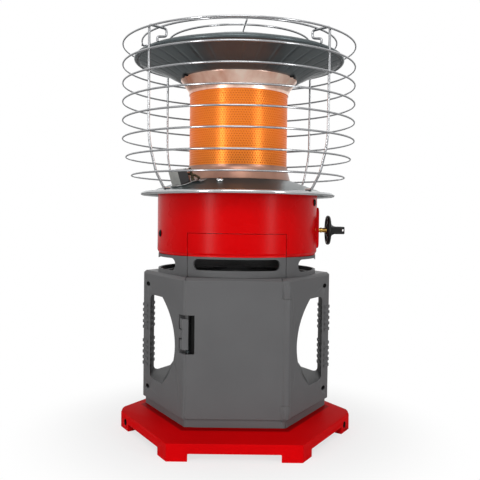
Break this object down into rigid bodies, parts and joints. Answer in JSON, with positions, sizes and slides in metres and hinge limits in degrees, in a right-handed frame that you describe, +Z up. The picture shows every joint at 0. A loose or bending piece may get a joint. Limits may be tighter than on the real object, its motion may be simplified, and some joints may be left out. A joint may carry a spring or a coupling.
{
  "type": "portable propane heater",
  "caption": "Portable propane heater with a glowing emitter screen in a wire guard, red control drum, grey hexagonal housing with hand openings and a hinged door, on a red base.",
  "frame": {"origin": "centre of the underside, on the burner axis at floor level", "axes": "+Z up along the burner axis, the door faces -Y, the knob points to +X"},
  "size_m": [0.2976, 0.2976, 0.497],
  "materials": {
    "red_plastic": "satin moulded red",
    "red_paint": "gloss red paint",
    "grey_plastic": "fine matte texture",
    "collar_grey": "matte",
    "black_plastic": "satin",
    "black_screws": "black",
    "zinc_screws": "zinc plated",
    "spring_steel": "drawn wire",
    "zinc_sheet": "zinc plated sheet",
    "cast_alloy": "die cast",
    "black_rubber": "moulded",
    "brass_parts": "machined",
    "bright_steel": "bright rolled sheet",
    "heated_steel": "heat tinted",
    "flare_steel": "bright sheet",
    "glowing_screen": "perforated steel, glowing when lit",
    "copper_tip": "copper tip",
    "white_ceramic": "glazed ceramic",
    "lead_red": "silicone sleeve",
    "ball_steel": "polished",
    "guard_wire": "bright plated wire"
  },
  "bodies": {
    "heater": {"base": "red_plastic", "base_screws": "zinc_screws", "housing_front": "grey_plastic", "housing_rear": "grey_plastic", "housing_screws": "black_screws", "vent_collar": "collar_grey", "control_drum": "red_paint", "drum_screws": "black_screws", "control_bezel": "red_plastic", "door_hinge_pin": "zinc_screws", "regulator_strap": "zinc_sheet", "regulator_body": "cast_alloy", "regulator_diaphragm": "black_rubber", "regulator_spring": "spring_steel", "regulator_cap": "cast_alloy", "regulator_screws": "zinc_screws", "regulator_nut": "brass_parts", "inlet_seal": "black_rubber", "valve_nut": "brass_parts", "valve_spring": "spring_steel", "gas_nozzle": "brass_parts", "venturi_tube": "zinc_sheet", "burner_deck": "bright_steel", "deck_screws": "zinc_screws", "burner_cup": "zinc_sheet", "burner_skirt": "heated_steel", "burner_screen": "glowing_screen", "inner_screen": "glowing_screen", "burner_baffle": "heated_steel", "flare_ring": "flare_steel", "tie_rods": "zinc_screws", "tie_nuts": "zinc_screws", "reflector": "bright_steel", "reflector_cover": "bright_steel", "pilot_bracket": "zinc_sheet", "pilot_shield": "zinc_sheet", "pilot_burner": "heated_steel", "pilot_tube": "zinc_sheet", "thermocouple": "copper_tip", "igniter_insulator": "white_ceramic", "igniter_electrode": "heated_steel", "igniter_lead": "lead_red", "piezo_igniter": "white_ceramic", "tip_switch": "black_plastic", "guard_hoops": "guard_wire", "guard_top_rings": "guard_wire", "guard_uprights": "guard_wire", "guard_radials": "guard_wire"},
    "door": {"door_panel": "grey_plastic", "door_collar": "collar_grey", "door_red_panel": "red_paint", "latch_pin": "zinc_screws", "latch_spring": "spring_steel"},
    "latch": {"door_latch": "grey_plastic"},
    "rotor": {"valve_rotor": "brass_parts"},
    "knob": {"valve_stem": "brass_parts", "control_knob": "black_plastic"},
    "ball": {"tip_ball": "ball_steel"}
  },
  "joints": [
    {"name": "door_hinge", "type": "hinge", "parent": "heater", "child": "door", "pos_m": [0.05844, -0.10122, 0.12], "axis": [0, 0, 1], "range_deg": [0, 110]},
    {"name": "latch_pivot", "type": "hinge", "parent": "door", "child": "latch", "pos_m": [-0.0558, -0.09662, 0.1375], "axis": [0, 0, 1], "range_deg": [-15, 0], "stiffness_Nm_per_rad": 0.05, "deforming": ["latch_spring"]},
    {"name": "valve_turn", "type": "hinge", "parent": "heater", "child": "rotor", "pos_m": [0.05, 0, 0.258], "axis": [1, 0, 0], "range_deg": [0, 180]},
    {"name": "knob_push", "type": "slide", "parent": "rotor", "child": "knob", "axis": [-1, 0, 0], "range_m": [0, 0.003], "stiffness_N_per_m": 1500, "deforming": ["valve_spring"]},
    {"name": "tip_ball_rise", "type": "slide", "parent": "heater", "child": "ball", "axis": [0, 0, 1], "range_m": [0, 0.004]}
  ]
}
